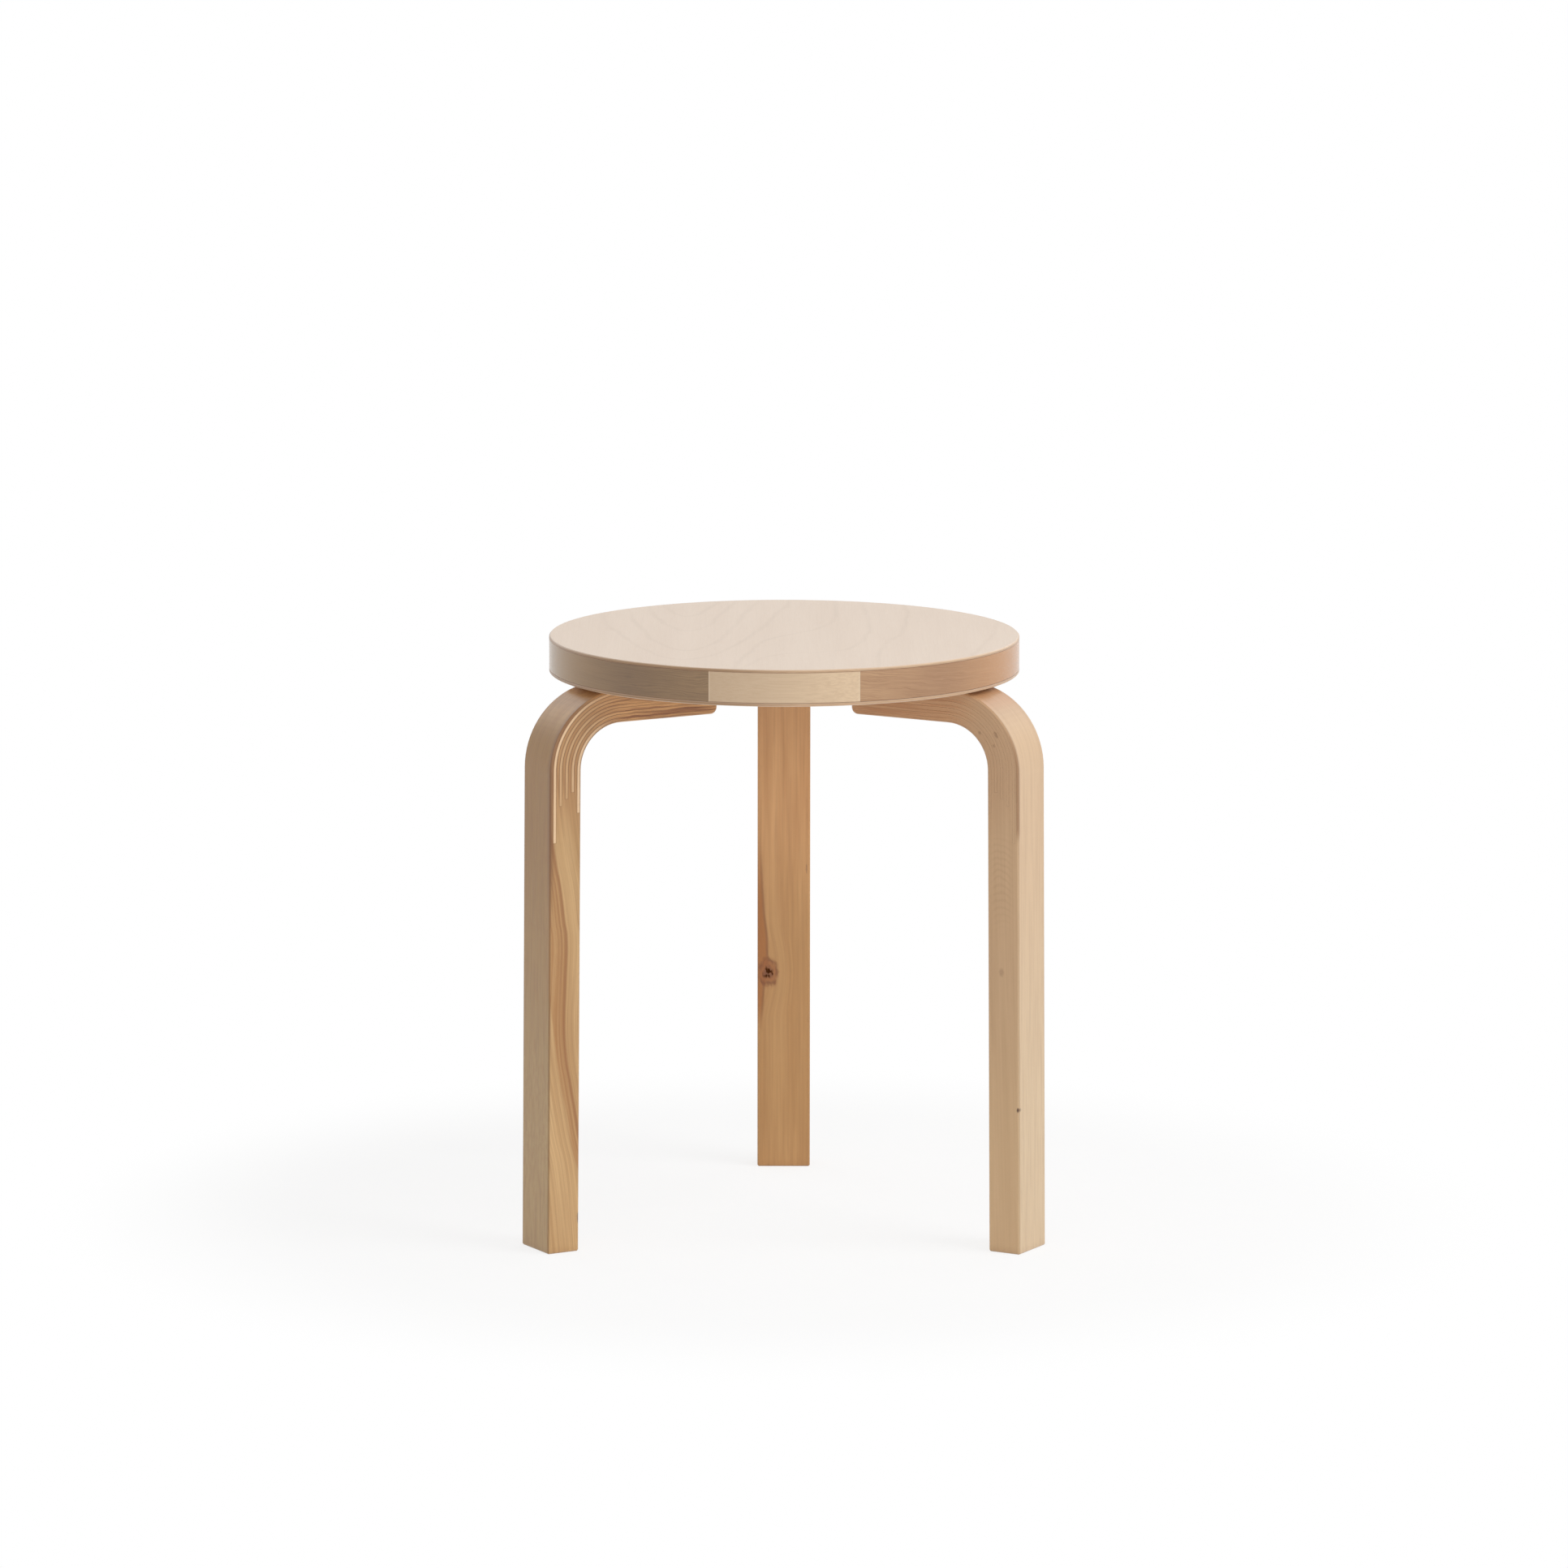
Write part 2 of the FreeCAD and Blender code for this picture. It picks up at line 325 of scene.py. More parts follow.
class Field:
    """A number that varies over a surface, worked out by shader nodes."""

    def __init__(self, graph, socket):
        self.graph = graph
        self.socket = socket

    def math(self, operation, *others):
        node = self.graph.add("ShaderNodeMath")
        node.operation = operation
        for slot, value in zip(node.inputs, (self, *others)):
            self.graph.plug(slot, value)
        return Field(self.graph, node.outputs[0])

    def __add__(self, other):
        return self.math("ADD", other)

    def __sub__(self, other):
        return self.math("SUBTRACT", other)

    def __rsub__(self, other):
        return self.graph.constant(other) - self

    def __mul__(self, other):
        return self.math("MULTIPLY", other)

    def __truediv__(self, other):
        return self.math("DIVIDE", other)

    def at_least(self, other):
        return self.math("MAXIMUM", other)

    def at_most(self, other):
        return self.math("MINIMUM", other)

    def size(self):
        return self.math("ABSOLUTE")

    def sine(self):
        return self.math("SINE")

    def root(self):
        return self.math("SQRT")

    def rise(self, low, high):
        """0 below low, 1 above high and a smooth step between; the two may change places."""
        return self.span(low, high, 0.0, 1.0)

    def span(self, low, high, first, last):
        """A smooth change from first to last while this goes from low to high."""
        node = self.graph.add("ShaderNodeMapRange")
        node.interpolation_type = "SMOOTHSTEP"
        for slot, value in zip(node.inputs, (self, low, high, first, last)):
            self.graph.plug(slot, value)
        return Field(self.graph, node.outputs[0])

    def near(self, centre, reach):
        """1 at the centre and 0 from reach away."""
        return (self - centre).size().rise(reach, 0.0)

    def between(self, fades):
        """1 between two fades and 0 outside them."""
        first, last = fades
        return self.rise(*first) * self.rise(*last)


class Graph:
    """The node graph of one material."""

    def __init__(self, name):
        self.material = bpy.data.materials.new(name)
        self.material.use_nodes = True
        self.tree = self.material.node_tree
        self.shader = self.tree.nodes["Principled BSDF"]

    def add(self, kind):
        return self.tree.nodes.new(kind)

    def plug(self, slot, value):
        """Sets an input to a plain value, or links a field or socket to it."""
        if isinstance(value, Field):
            value = value.socket
        if isinstance(value, bpy.types.NodeSocket):
            self.tree.links.new(value, slot)
        else:
            slot.default_value = value

    def constant(self, value):
        node = self.add("ShaderNodeValue")
        node.outputs[0].default_value = value
        return Field(self, node.outputs[0])

    def place(self):
        """The surface point in millimetres, as three fields."""
        where = self.add("ShaderNodeTexCoord")
        split = self.add("ShaderNodeSeparateXYZ")
        self.plug(split.inputs[0], where.outputs["Object"])
        return [Field(self, socket) / millimetre for socket in split.outputs]

    def noise(self, x, y, z, detail=2.0, roughness=0.5):
        """Smooth noise at a point whose units are the noise's own lumps, mostly between 0.3 and 0.7."""
        join = self.add("ShaderNodeCombineXYZ")
        for slot, value in zip(join.inputs, (x, y, z)):
            self.plug(slot, value)
        node = self.add("ShaderNodeTexNoise")
        node.inputs["Scale"].default_value = 1.0
        node.inputs["Detail"].default_value = detail
        node.inputs["Roughness"].default_value = roughness
        self.plug(node.inputs["Vector"], join.outputs[0])
        return Field(self, node.outputs["Fac"])

    def curve(self, field, points):
        """A smooth curve through points given as (value of the field, value of the curve)."""
        node = self.add("ShaderNodeFloatCurve")
        firsts = [point[0] for point in points]
        seconds = [point[1] for point in points]
        first_span = max(firsts) - min(firsts)
        second_span = max(seconds) - min(seconds)
        marks = node.mapping.curves[0].points
        for index, (first, second) in enumerate(points):
            where = ((first - min(firsts)) / first_span, (second - min(seconds)) / second_span)
            if index in (0, len(points) - 1):
                marks[0 if index == 0 else -1].location = where
            else:
                marks.new(*where)
        node.mapping.update()
        self.plug(node.inputs["Value"], (field - min(firsts)) / first_span)
        return Field(self, node.outputs[0]) * second_span + min(seconds)

    def blend(self, factor, first, second):
        """One colour over another, by a factor from 0 to 1."""
        node = self.add("ShaderNodeMix")
        node.data_type = "RGBA"
        self.plug(node.inputs["Factor"], factor)
        self.plug(node.inputs["A"], first)
        self.plug(node.inputs["B"], second)
        return node.outputs["Result"]

    def stain(self, where, colour, stain):
        """A stain, given as (strength, colour), over a colour where the field says."""
        strength, stain_colour = stain
        return self.blend(where * strength, colour, stain_colour)

    def bump(self, height):
        """Raises the surface by a field in millimetres, with softened edges under it."""
        soft = self.add("ShaderNodeBevel")
        soft.samples = edge_samples
        soft.inputs["Radius"].default_value = edge_softness * millimetre
        node = self.add("ShaderNodeBump")
        node.inputs["Distance"].default_value = millimetre
        self.plug(node.inputs["Height"], height)
        self.plug(node.inputs["Normal"], soft.outputs[0])
        self.plug(self.shader.inputs["Normal"], node.outputs[0])

    def dress(self, node_name):
        """Gives this material to a CAD node."""
        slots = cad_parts[node_name].material_slots
        for slot in slots:
            slot.material = self.material


def add_camera():
    data = bpy.data.cameras.new("camera")
    data.sensor_width = sensor_width
    data.lens = camera_focal_pixels * sensor_width / photo_width_pixels
    data.clip_end = camera_reach_metres
    camera = bpy.data.objects.new("camera", data)
    bpy.context.scene.collection.objects.link(camera)
    turn = Matrix.Rotation(-camera_turn, 4, "Z")
    tilt = Matrix.Rotation(math.pi / 2 - camera_tilt_down, 4, "X")
    roll = Matrix.Rotation(camera_roll, 4, "Z")
    place = Matrix.Translation(camera_place * millimetre)
    camera.matrix_world = place @ turn @ tilt @ roll
    bpy.context.scene.camera = camera


def grain_lines(graph, along, across, depth, spacing, seed):
    """Growth lines that run with the grain, sharp on one side: 0 between them and 1 on them."""
    wander = graph.noise(along / 130.0, across / 30.0 + seed, depth / 30.0) * grain_wander
    uneven = graph.noise(along / 400.0 + seed, across / 4.0, depth / 4.0, roughness=0.6) * grain_unevenness
    phase = (depth + across * grain_slant + wander) / spacing + uneven + seed
    step = phase.math("FRACT")
    return step.rise(0.25, 0.9) * step.rise(1.0, 0.93)


def fibres(graph, along, across, depth, seed):
    """The finest streaks and pores of the wood, a few tenths of a millimetre wide."""
    return graph.noise(along / 16.0, across / 0.4, depth / 0.4 + seed, roughness=0.7)


def bands(graph, along, across, depth, width, seed):
    """Broad soft changes of tone along the grain."""
    tone = graph.noise(along / 240.0 + seed, across / width, depth / width, detail=3.0, roughness=0.55)
    return tone.rise(0.32, 0.68)


def finish_wood(graph, colour, fine, roughness, coat=satin_coat, coat_roughness=satin_coat_roughness):
    """Lacquer over bare wood: a thin coat, and pores that show through it."""
    shader = graph.shader
    uneven = fine.span(0.25, 0.75, roughness - pores_smoother, roughness + pores_rougher)
    graph.plug(shader.inputs["Base Color"], colour)
    graph.plug(shader.inputs["Roughness"], uneven)
    shader.inputs["Coat Weight"].default_value = coat
    shader.inputs["Coat Roughness"].default_value = coat_roughness
    graph.bump(fine * pore_height)


def arch(x, y, tip, narrowness):
    """1 on a line that arches round the veneer's heart, with its tip towards the front."""
    aside = x - heart_x
    slope = aside * (2.0 * narrowness)
    gap = (y - tip - aside * aside * narrowness) / (slope * slope + 1.0).root()
    return gap.near(0.0, figure_line_reach)


def skin_figure(graph, x, y):
    """The sliced veneer's figure: nested arches left of the middle and long lines right of it."""
    drift_x = x + graph.noise(x / 45.0, y / 60.0, 5.0, roughness=0.6) * 9.0 - 4.5
    drift_y = y + graph.noise(x / 60.0 + 9.0, y / 45.0, 2.0, roughness=0.6) * 14.0 - 7.0
    lines = [arch(drift_x, drift_y, tip, narrowness) for tip, narrowness in arches]
    for course in long_lines:
        line_x = graph.curve(drift_y, course)
        lines.append((drift_x - line_x).near(0.0, figure_line_reach))
    figure = lines[0]
    for line in lines[1:]:
        figure = figure.at_least(line)
    strength = graph.noise(x / 40.0, y / 70.0, 8.0).rise(0.25, 0.7)
    return figure * (strength * 0.7 + 0.3)


def skin_edge(graph, x, y, z, colour, edge, joint_level):
    """The cut edge of a skin's plies round the rim, and the glue where it joins the frame."""
    level, shaded_left_edge, edge_right = edge
    radius = (x * x + y * y).root()
    rim = radius.rise(seat_radius - 1.6, seat_radius - 0.4)
    grain = graph.noise(x / 9.0, y / 9.0, z / 0.35, roughness=0.6).rise(0.35, 0.65)
    # Darker to the left as painted shade, for that side of the rim turns away from the lamps
    edge_colour = graph.blend(x.rise(-50.0, 20.0), shaded_left_edge, edge_right)
    edge_colour = graph.stain(grain, edge_colour, edge_grain)
    colour = graph.blend(rim * (z - level).size().rise(1.4, 0.4), colour, edge_colour)
    joint = rim * (z - joint_level).size().rise(0.75, 0.2)
    colour = graph.stain(joint, colour, edge_joint)
    ply = rim * (z - level).size().rise(0.4, 0.1)
    return graph.stain(ply, colour, edge_ply)


def skin_material(name, edge, joint_level):
    """Sliced birch veneer, with the edge of its plies round the rim."""
    graph = Graph(name)
    x, y, z = graph.place()
    y = y - seat_axis_y
    fine = fibres(graph, y, x, z, seed=4.0)
    tone = bands(graph, y, x, z, width=26.0, seed=2.0) * 0.5
    streaks = graph.noise(y / 90.0, x / 1.8, 6.0, detail=3.0, roughness=0.65).rise(0.35, 0.8)
    colour = graph.blend(tone, skin_light, skin_warm)
    colour = graph.stain(streaks, colour, skin_streaks)
    colour = graph.stain(skin_figure(graph, x, y), colour, skin_lines)
    colour = skin_edge(graph, x, y, z, colour, edge, joint_level)
    finish_wood(graph, colour, fine, skin_roughness)
    return graph


def rail_joint_lines(graph, z, colour):
    """The thin brown lines where the skins are glued over and under the frame."""
    for level in (frame_top, frame_bottom):
        line = (z - level).size().rise(0.75, 0.25)
        colour = graph.stain(line, colour, rail_joint)
    return colour


def short_rail_material():
    """The short rails, whose grain runs from side to side."""
    graph = Graph("birch_short_rail")
    x, y, z = graph.place()
    fine = fibres(graph, x, z, y, seed=5.0)
    streaks = graph.noise(x / 70.0, y / 1.0, z / 1.0, detail=3.0, roughness=0.65).rise(0.3, 0.75)
    flecks = graph.noise(x / 6.0, y / 0.8, z / 0.8, roughness=0.6).rise(0.62, 0.8)
    # Darker to the left, partly as painted shade where the rail turns away from the lamps, and partly as the
    # wood's own tone
    paler = (x + bands(graph, x, y, z, width=12.0, seed=3.0) * 18.0).rise(-50.0, 66.0)
    colour = graph.blend(paler, short_rail_shaded_left, short_rail_right)
    colour = graph.stain(streaks, colour, short_rail_streaks)
    colour = graph.stain(flecks, colour, short_rail_flecks)
    end = x.size().rise(half_short_rail - 1.3, half_short_rail - 0.5)
    colour = graph.stain(end, colour, short_rail_ends)
    finish_wood(graph, rail_joint_lines(graph, z, colour), fine, rail_roughness)
    return graph


def side_rail_material(side):
    """A long rail, whose end grain shows towards the front and whose flank shows at the side."""
    look = side_rails[side]
    seed = look["seed"]
    graph = Graph("birch_%s_rail" % side)
    x, y, z = graph.place()
    y = y - seat_axis_y
    fine = fibres(graph, y, x, z, seed)
    sway = graph.noise(x / 30.0 + seed, y / 60.0, z / 12.0, detail=3.0, roughness=0.6) * 7.0
    level = z + x * look["slant"] + sway
    rings = graph.noise(seed, level / 0.9, x / 40.0, detail=3.0, roughness=0.7).rise(0.3, 0.72)
    rays = graph.noise(x / 1.2, y / 20.0, z / 1.2 + seed, roughness=0.6).rise(0.35, 0.8)
    patch = graph.noise(x / 22.0, y / 22.0, z / 10.0 + seed).rise(0.3, 0.7)
    end = graph.blend(rings * 0.75, look["end_light"], look["end_dark"])
    end = graph.blend(patch * 0.3, end, look["end_light"])
    middle = x.size().near(seat_radius * 0.68, seat_radius * 0.35)
    end = graph.blend(middle * 0.45, end, look["end_dark"])
    flank = graph.blend(rays * 0.35, look["flank"], look["end_light"])
    end_part = y.size().rise(seat_radius * 0.35, seat_radius * 0.8)
    colour = rail_joint_lines(graph, z, graph.blend(end_part, flank, end))
    finish_wood(graph, colour, fine, rail_roughness, polished_coat, polished_coat_roughness)
    return graph


def leg_place(graph, side, azimuth):
    """Where a point is in a leg: along the grain, across it, and out from the leg's inner face (depth).
    Height is along, counted from the floor, and level is depth counted from the leaning grain."""
    x, y, z = graph.place()
    y = y - seat_axis_y
    angle = math.radians(azimuth)
    out = x * math.cos(angle) + y * math.sin(angle)
    past = (out - bend_centre_radius).at_least(0.0)
    above = (z - bend_centre_height).at_least(0.0)
    post = (bend_centre_height - z).at_least(0.0)
    spread = post * math.tan(math.radians(leg_splay_degrees))
    turn = above.math("ARCTAN2", past) * (bend_inner_radius + leg_thickness / 2)
    arm = (bend_centre_radius - out).at_least(0.0)
    leg = SimpleNamespace()
    leg.along = turn + arm - post
    leg.across = y * math.cos(angle) - x * math.sin(angle)
    leg.depth = (past * past + above * above).root() - bend_inner_radius - spread
    leg.height = leg.along + bend_centre_height
    leg.level = leg.depth - graph.curve(leg.height, leg_leans[side])
    return leg


def spot(graph, along, sideways, mark):
    """1 at the centre of an oval spot on a leg, fading to 0 at its uneven rim."""
    centre, length, width = mark
    long_way = (along - centre[0]) / length
    short_way = (sideways - centre[1]) / width
    ragged = graph.noise(along / 1.2, sideways / 1.2, centre[1], roughness=0.6) * 0.8 - 0.4
    return ((long_way * long_way + short_way * short_way).root() + ragged).rise(1.0, 0.4)


def glue_lines(leg):
    """1 on the dark lines on both sides of each veneer, as far as its kerf reaches."""
    lines = 0.0
    for index, reach in enumerate(kerf_depths):
        near = first_kerf + index * kerf_pitch
        wall = (leg.depth - near).size().at_most((leg.depth - near - kerf_width).size())
        line = wall.rise(0.7, 0.1) * (leg.along + reach).rise(-0.4, 0.2)
        lines = line.at_least(lines)
    return lines


def left_marks(graph, leg, colour):
    """A streak of dark heartwood that crosses the left leg's inner side from arris to edge."""
    near_side = leg.across.rise(9.0, 19.0) * leg.depth.rise(26.0, 24.6) * leg.height.rise(*heartwood_top_fade)
    inside = graph.curve(leg.height, heartwood_outer_edge) - leg.depth
    wood = graph.noise(leg.along / 70.0, leg.level / 1.4, 4.0, detail=3.0, roughness=0.6).rise(0.3, 0.7)
    body = leg.level.rise(-1.0, 1.2) * inside.rise(-0.6, 1.2) * near_side
    colour = graph.blend(body * (wood * 0.42 + 0.36), colour, heartwood_brown)
    for distance, reach, strength in heartwood_lines:
        line = leg.level.near(distance, reach) * inside.rise(-0.5, 1.0) * near_side
        colour = graph.stain(line, colour, (strength, heartwood_line_brown))
    nick = spot(graph, leg.along, leg.depth, left_leg_nick) * leg.across.rise(12.0, 16.0)
    colour = graph.stain(nick, colour, nick_stain)
    # Painted shade along the outer arris of the bend
    edge = leg.depth.rise(21.4, 24.2) * leg.across.rise(14.0, 19.4)
    return graph.stain(edge * leg.along.between(bend_edge_shade_fades), colour, bend_edge_shade)


def curly_grain(graph, leg):
    """1 on the crests of a patch of bowed ripples that cross the grain, on the right leg's post."""
    sway = graph.noise(leg.along / 30.0, leg.depth / 12.0, 3.0) * 9.0
    bowed = leg.depth - curl_middle
    ripple = ((leg.along + bowed * bowed * curl_bow + sway) * curl_per_millimetre).sine().rise(-0.2, 1.0)
    return ripple * leg.along.between(curl_fades) * leg.depth.rise(1.0, 7.0) * leg.depth.rise(24.0, 15.0)


def right_marks(graph, leg, colour):
    """The right leg's yellower foot, small flecks, curly grain, painted shade by its arris in the bend and a
    pin knot.
    """
    inner_side = leg.across.rise(-15.0, -18.5)
    low = leg.height.rise(*yellow_fade) * leg.depth.rise(25.4, 24.6)
    colour = graph.stain(low, colour, yellow_stain)
    for mark in right_leg_flecks:
        fleck = spot(graph, leg.along, leg.depth, mark) * inner_side
        colour = graph.stain(fleck, colour, fleck_stain)
    smudge = spot(graph, leg.along, leg.depth, right_leg_smudge) * inner_side
    colour = graph.stain(smudge, colour, smudge_stain)
    colour = graph.stain(curly_grain(graph, leg) * inner_side, colour, curl_stain)
    # Painted shade by the arris in the bend
    arris_shade = leg.depth.rise(23.0, 24.6) * leg.across.rise(-16.5, -19.0)
    colour = graph.stain(arris_shade * leg.along.between(arris_line_shade_fades), colour, arris_line_shade)
    pin = spot(graph, leg.along, leg.depth, pin_knot) * leg.across.rise(-16.0, -18.5)
    return graph.stain(pin, colour, pin_knot_stain)


def knot_distance(leg):
    """How far a point on the back leg is from the knot, measured across the grain."""
    long_way = (leg.along - knot_centre[0]) / knot_lengthening
    short_way = leg.across - knot_centre[1]
    return (long_way * long_way + short_way * short_way).root()


def knot(graph, leg, colour):
    """A knot with dark cracks that take no lacquer, an uneven ring and reddish wood between."""
    ragged = graph.noise(leg.along / 7.0, leg.across / 5.0, 2.0) * 5.0 - 2.5
    radius = knot_distance(leg) + ragged
    colour = graph.stain(radius.rise(9.5, 4.5), colour, knot_stain)
    broken = graph.noise(leg.along / 6.0, leg.across / 4.0, 9.0).rise(0.36, 0.62)
    rim = radius.near(knot_ring_radius, 2.0) * (broken * 0.5 + 0.15)
    colour = graph.blend(rim, colour, knot_ring_brown)
    heart = radius.rise(knot_heart_radius + 1.2, knot_heart_radius - 1.6)
    colour = graph.stain(heart, colour, knot_heart_stain)
    crack = heart * graph.noise(leg.along / 5.0, leg.across / 2.6, 6.0, detail=1.0).rise(0.46, 0.58)
    graph.plug(graph.shader.inputs["Specular IOR Level"], crack.span(0.0, 1.0, wood_shine, 0.0))
    graph.plug(graph.shader.inputs["Coat Weight"], crack.span(0.0, 1.0, satin_coat, 0.0))
    return graph.stain(crack, colour, knot_crack_stain)


def back_marks(graph, leg, colour):
    """The back leg's knot near one edge, with reddish wood above and below it out to that edge."""
    inner_face = leg.depth.rise(14.0, 6.0)
    # Browner towards the floor, with the paler wood above partly painted light beneath the seat
    colour = graph.stain(leg.height.rise(*brown_below_fade), colour, brown_below_painted_light_above)
    past_line = leg.across - graph.curve(leg.height, knot_streak)
    reach = leg.height.between(knot_streak_fades) * inner_face
    colour = graph.stain(past_line.rise(-1.5, 1.5) * reach, colour, knot_streak_stain)
    colour = graph.stain(past_line.near(-0.2, 1.8) * reach, colour, knot_streak_line_stain)
    colour = knot(graph, leg, colour)
    fleck = spot(graph, leg.along, leg.across, back_leg_fleck) * inner_face
    return graph.stain(fleck, colour, back_fleck_stain)


def arm_flame(graph, leg, look, colour):
    """Dark wavy streaks where the arm's grain is cut at a slant, on the post's wood and veneers alike."""
    sway = graph.noise(leg.along / 30.0, leg.across / 14.0, look["seed"]) * 5.0
    level = (leg.depth + sway) / 1.7
    flame = graph.noise(leg.along / 60.0, leg.across / 8.0, level, detail=3.0, roughness=0.6)
    reach = leg.along.rise(*flame_fade) * look["flame"]
    colour = graph.blend(reach * flame_light_strength, colour, look["flame_light"])
    return graph.blend(reach * flame.rise(0.42, 0.68), colour, look["flame_dark"])


def veneer_tone(graph, leg, look, colour):
    """Paler wood for a veneer, palest in the outermost and innermost ones, and lost in the arm."""
    level = leg.depth / 1.2 + look["seed"]
    grain = graph.noise(leg.along / 26.0, leg.across / 5.0, level, detail=3.0, roughness=0.65).rise(0.3, 0.7)
    edge_ones = (leg.depth - leg_thickness / 2).size().rise(4.0, 9.0)
    pale = graph.blend(edge_ones * 0.75 + grain * 0.25, look["veneer_dark"], look["veneer_light"])
    strength = edge_ones * 0.3 + 0.55 + grain * 0.15
    reach = leg.along.span(20.0, 84.0, 1.0, 0.12)
    return graph.blend(reach * strength * look["veneer"], colour, pale)


def leg_wood(graph, leg, look, grain_across, outer):
    """The wood of a leg before its marks: tone, streaks and growth lines, and its outer face's colour, with
    painted shade that darkens it towards the seat and a painted shadow of the seat beside it.
    """
    seed = look["seed"]
    tone = bands(graph, leg.along, grain_across, leg.level, width=12.0, seed=seed)
    colour = graph.blend(tone, look["light"], look["dark"])
    # The outer face's colour, darkened towards the seat as painted shade, most on the left leg
    shade = graph.blend(leg.height.rise(*outer_top_shade_fade), look["outer"], look["outer_top_shade"])
    colour = graph.blend(outer * outer_cover, colour, shade)
    bent = leg.along.rise(*bend_fade) * (1.0 - outer)
    colour = graph.stain(bent, colour, look["bend"])
    level = leg.level / 1.6 + seed
    streaks = graph.noise(leg.along / 130.0, grain_across / 2.6, level, detail=3.0, roughness=0.6)
    colour = graph.blend(streaks.rise(0.38, 0.72) * look["streaks"], colour, look["line"])
    lines = grain_lines(graph, leg.along, grain_across, leg.level, look["line_spacing"], seed)
    colour = graph.blend(lines * (1.0 - outer) * look["lines"], colour, look["line"])
    pores = graph.noise(leg.along / 60.0, leg.across / 1.1, seed, detail=3.0, roughness=0.65)
    colour = graph.blend(outer * pores.rise(0.42, 0.78) * look["outer_streaks"], colour, look["arris"])
    # Painted shadow of the seat on the outer face beside it: dark brown on the left leg, orange on the right
    # for light bounced off the wood
    painted_seat_shadow = outer * leg.along.rise(*painted_seat_shadow_fade)
    return graph.blend(painted_seat_shadow * painted_seat_shadow_cover, colour, look["painted_seat_shadow"])


def leg_edges(graph, leg, look, is_veneer, outer, fine, colour):
    """What lies over all else on a leg: the glue beside the veneers, painted shade along the outer arrises
    and a darker band at the foot.
    """
    strength, glue_colour = look["glue"]
    if is_veneer:
        strength = strength * veneer_glue_share
    in_bend = leg.along.span(-30.0, 12.0, 0.35, 1.0) * leg.along.span(60.0, 100.0, 1.0, 0.3)
    colour = graph.stain(glue_lines(leg) * in_bend, colour, (strength, glue_colour))
    # Painted shade along the outer arrises
    arris = leg.across.size().rise(leg_width / 2 - 2.2, leg_width / 2 - 0.6) * outer
    colour = graph.stain(arris, colour, (arris_shade_strength, look["arris"]))
    # Darker towards the bottom of the foot
    foot = leg.height.rise(*foot_fade) * fine.rise(0.3, 0.6)
    return graph.stain(foot, colour, (foot_strength, look["line"]))


def leg_material(side, azimuth, marks, is_veneer):
    """One leg's birch, with its own tone, lines and marks, for the post or for its veneers."""
    look = leg_looks[side]
    graph = Graph(side + ("_veneer_birch" if is_veneer else "_leg_birch"))
    leg = leg_place(graph, side, azimuth)
    grain_across = leg.across
    if side == "back":
        grain_across = leg.across + knot_distance(leg).rise(26.0, 5.0) * knot_push
    fine = fibres(graph, leg.along, leg.across, leg.depth, look["seed"])
    outer = leg.depth.rise(leg_thickness - 1.2, leg_thickness - 0.5)
    colour = leg_wood(graph, leg, look, grain_across, outer)
    colour = graph.stain(fine.rise(0.55, 0.85), colour, (pore_strength, look["line"]))
    colour = marks(graph, leg, colour)
    if is_veneer:
        colour = veneer_tone(graph, leg, look, colour)
    colour = arm_flame(graph, leg, look, colour)
    colour = leg_edges(graph, leg, look, is_veneer, outer, fine, colour)
    finish_wood(graph, colour, fine, leg_roughness)
    return graph


def screw_material():
    """Zinc plate on steel, a little worn."""
    graph = Graph("zinc_steel")
    x, y, z = graph.place()
    wear = graph.noise(x / 1.5, y / 1.5, z / 1.5, detail=4.0, roughness=0.6)
    graph.plug(graph.shader.inputs["Base Color"], graph.blend(wear, zinc_light, zinc_dark))
    graph.shader.inputs["Metallic"].default_value = 1.0
    graph.plug(graph.shader.inputs["Roughness"], wear.span(0.2, 0.8, 0.28, 0.42))
    graph.bump(wear * zinc_wear_height)
    return graph


def dress_seat():
    skin_material("birch_top_skin", top_edge, frame_top).dress("seat_top_skin")
    skin_material("birch_bottom_skin", bottom_edge, frame_bottom).dress("seat_bottom_skin")
    short = short_rail_material()
    for name in ("seat_rail_front", "seat_rail_back", "seat_core"):
        short.dress(name)
    for side in side_rails:
        side_rail_material(side).dress("seat_rail_" + side)


def dress_legs():
    marks = {"left": left_marks, "right": right_marks, "back": back_marks}
    for side, azimuth in leg_azimuths.items():
        leg_material(side, azimuth, marks[side], False).dress(side + "_leg")
        veneer = leg_material(side, azimuth, marks[side], True)
        for number in range(1, len(kerf_depths) + 1):
            veneer.dress("%s_leg_veneer_%d" % (side, number))


def ring(mesh, radius, height):
    """A level ring of points round a screw's axis."""
    points = []
    for index in range(screw_sides):
        angle = 2 * math.pi * index / screw_sides
        points.append(mesh.verts.new((radius * math.cos(angle), radius * math.sin(angle), height)))
    return points


def cross_outline(mesh, reach, half_width, height):
    """The twelve corners of a cross, at one level of a screw's recess."""
    points = []
    for quarter in range(4):
        turn = Matrix.Rotation(quarter * math.pi / 2, 3, "Z")
        for x, y in ((reach, -half_width), (reach, half_width), (half_width, half_width)):
            points.append(mesh.verts.new(turn @ Vector((x, y, height))))
    return points


def join_loops(mesh, first, second):
    """A band of faces between two closed loops that have the same number of points."""
    for index in range(len(first)):
        after = (index + 1) % len(first)
        mesh.faces.new((first[index], first[after], second[after], second[index]))


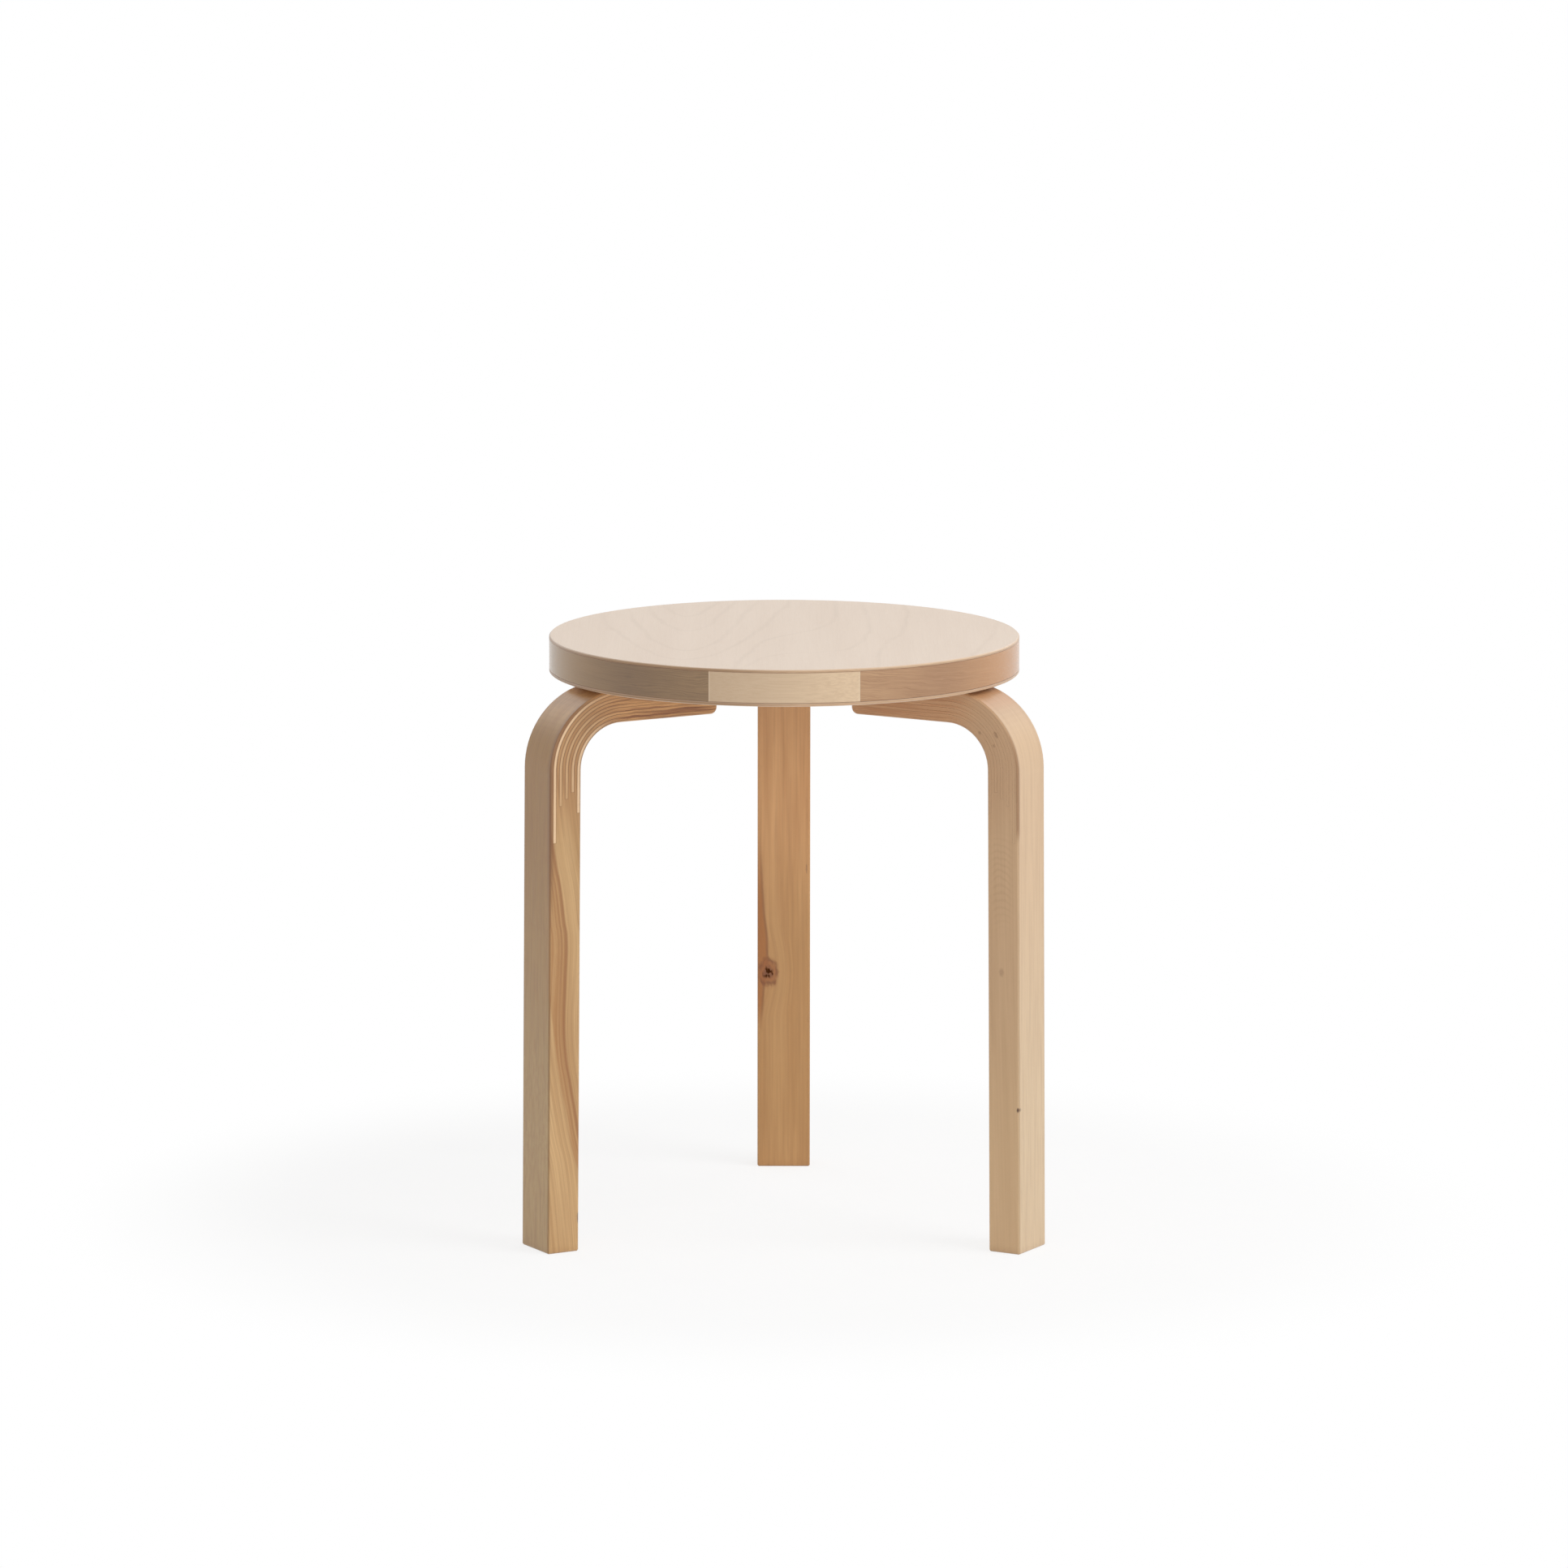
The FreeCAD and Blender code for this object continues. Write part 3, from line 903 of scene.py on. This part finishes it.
def add_screw(mesh, place):
    """A countersunk screw, with the face of its head at the place given and its point above it."""
    profile = (
        (screw_head_radius - screw_head_bevel, 0.0),
        (screw_head_radius, screw_head_bevel),
        (screw_shank_radius, screw_head_height),
        (screw_shank_radius, screw_length - screw_point_length),
        (screw_point_radius, screw_length),
    )
    rings = [ring(mesh, radius, height) for radius, height in profile]
    for lower, upper in zip(rings, rings[1:]):
        join_loops(mesh, lower, upper)
    mesh.faces.new(rings[-1])
    mouth = cross_outline(mesh, recess_reach, recess_half_width, 0.0)
    floor = cross_outline(mesh, recess_reach * recess_taper, recess_half_width * recess_taper, recess_depth)
    join_loops(mesh, mouth, floor)
    mesh.faces.new(floor)
    edges = []
    for loop in (rings[0], mouth):
        for first, second in zip(loop, loop[1:] + loop[:1]):
            edges.append(mesh.edges.get((first, second)))
    bmesh.ops.triangle_fill(mesh, edges=edges, use_beauty=True)
    made = [point for loop in (*rings, mouth, floor) for point in loop]
    bmesh.ops.translate(mesh, verts=made, vec=place)


def add_screws():
    """Screws with a cross recess, in the places of the plain ones."""
    steel = screw_material()
    for side, azimuth in leg_azimuths.items():
        node = side + "_leg_screws"
        head_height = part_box(node)[0].z / millimetre
        angle = math.radians(azimuth)
        mesh = bmesh.new()
        for out in screw_places:
            y = seat_axis_y + out * math.sin(angle)
            add_screw(mesh, Vector((out * math.cos(angle), y, head_height)))
        bmesh.ops.recalc_face_normals(mesh, faces=mesh.faces)
        data = bpy.data.meshes.new(side + "_screws")
        mesh.to_mesh(data)
        mesh.free()
        data.transform(Matrix.Scale(millimetre, 4))
        data.shade_smooth()
        data.set_sharp_from_angle(angle=math.radians(smooth_below_degrees))
        data.materials.append(steel.material)
        screws = bpy.data.objects.new(side + "_screws", data)
        bpy.context.scene.collection.objects.link(screws)
        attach(screws, "root")
        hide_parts(node)


def seen_directly(add, link):
    """1 for rays from the camera and in reflections or glass, and 0 for light that falls on the stool."""
    path = add("ShaderNodeLightPath")
    total = path.outputs["Is Camera Ray"]
    for name in ("Is Glossy Ray", "Is Transmission Ray"):
        larger = add("ShaderNodeMath")
        larger.operation = "MAXIMUM"
        link(total, larger.inputs[0])
        link(path.outputs[name], larger.inputs[1])
        total = larger.outputs[0]
    return total


def floor_material():
    """Pale matt floor that looks white and keeps the stool's shadow, clear when seen from below."""
    graph = Graph("pale_floor")
    x, y, z = graph.place()
    mottle = graph.noise(x / 40.0, y / 40.0, z)
    graph.plug(graph.shader.inputs["Base Color"], graph.blend(mottle, floor_dark, floor_light))
    graph.shader.inputs["Roughness"].default_value = floor_roughness
    white = graph.add("ShaderNodeEmission")
    direct = Field(graph, seen_directly(graph.add, graph.tree.links.new))
    far = (x * x + y * y).root().span(shadow_reach * 0.6, shadow_reach, shadow_whiteness, 1.0)
    lit = graph.add("ShaderNodeMixShader")
    graph.plug(lit.inputs[0], direct * far)
    graph.plug(lit.inputs[1], graph.shader.outputs[0])
    graph.plug(lit.inputs[2], white.outputs[0])
    side = graph.add("ShaderNodeNewGeometry")
    clear = graph.add("ShaderNodeBsdfTransparent")
    both = graph.add("ShaderNodeMixShader")
    graph.plug(both.inputs[0], side.outputs["Backfacing"])
    graph.plug(both.inputs[1], lit.outputs[0])
    graph.plug(both.inputs[2], clear.outputs[0])
    graph.plug(graph.tree.nodes["Material Output"].inputs["Surface"], both.outputs[0])
    return graph.material


def add_floor():
    mesh = bpy.data.meshes.new("floor")
    reach = floor_reach * millimetre
    corners = [(-reach, -reach, 0), (reach, -reach, 0), (reach, reach, 0), (-reach, reach, 0)]
    mesh.from_pydata(corners, [], [(0, 1, 2, 3)])
    floor = bpy.data.objects.new("floor", mesh)
    bpy.context.scene.collection.objects.link(floor)
    mesh.materials.append(floor_material())


def add_lamp(name, azimuth, elevation, distance, size, power):
    """A square soft lamp that looks at the stool from a direction round it."""
    data = bpy.data.lights.new(name, "AREA")
    data.size = size
    data.energy = power
    lamp = bpy.data.objects.new(name, data)
    bpy.context.scene.collection.objects.link(lamp)
    turn = math.radians(azimuth)
    rise = math.radians(elevation)
    level = math.cos(rise)
    away = Vector((level * math.cos(turn), level * math.sin(turn), math.sin(rise)))
    lamp.location = lamp_aim_metres + away * distance
    lamp.rotation_euler = (-away).to_track_quat("-Z", "Y").to_euler()


def add_world():
    world = bpy.data.worlds.new("studio")
    bpy.context.scene.world = world
    world.use_nodes = True
    tree = world.node_tree
    background = tree.nodes["Background"]
    background.inputs["Color"].default_value = (1.0, 1.0, 1.0, 1.0)
    strength = tree.nodes.new("ShaderNodeMapRange")
    strength.inputs["To Min"].default_value = sky_strength
    strength.inputs["To Max"].default_value = 1.0
    tree.links.new(seen_directly(tree.nodes.new, tree.links.new), strength.inputs["Value"])
    tree.links.new(strength.outputs[0], background.inputs["Strength"])


def add_light():
    add_world()
    for lamp in lamps:
        add_lamp(*lamp)


add_camera()
dress_seat()
dress_legs()
add_screws()
add_floor()
add_light()
bpy.context.scene.view_settings.view_transform = "Standard"
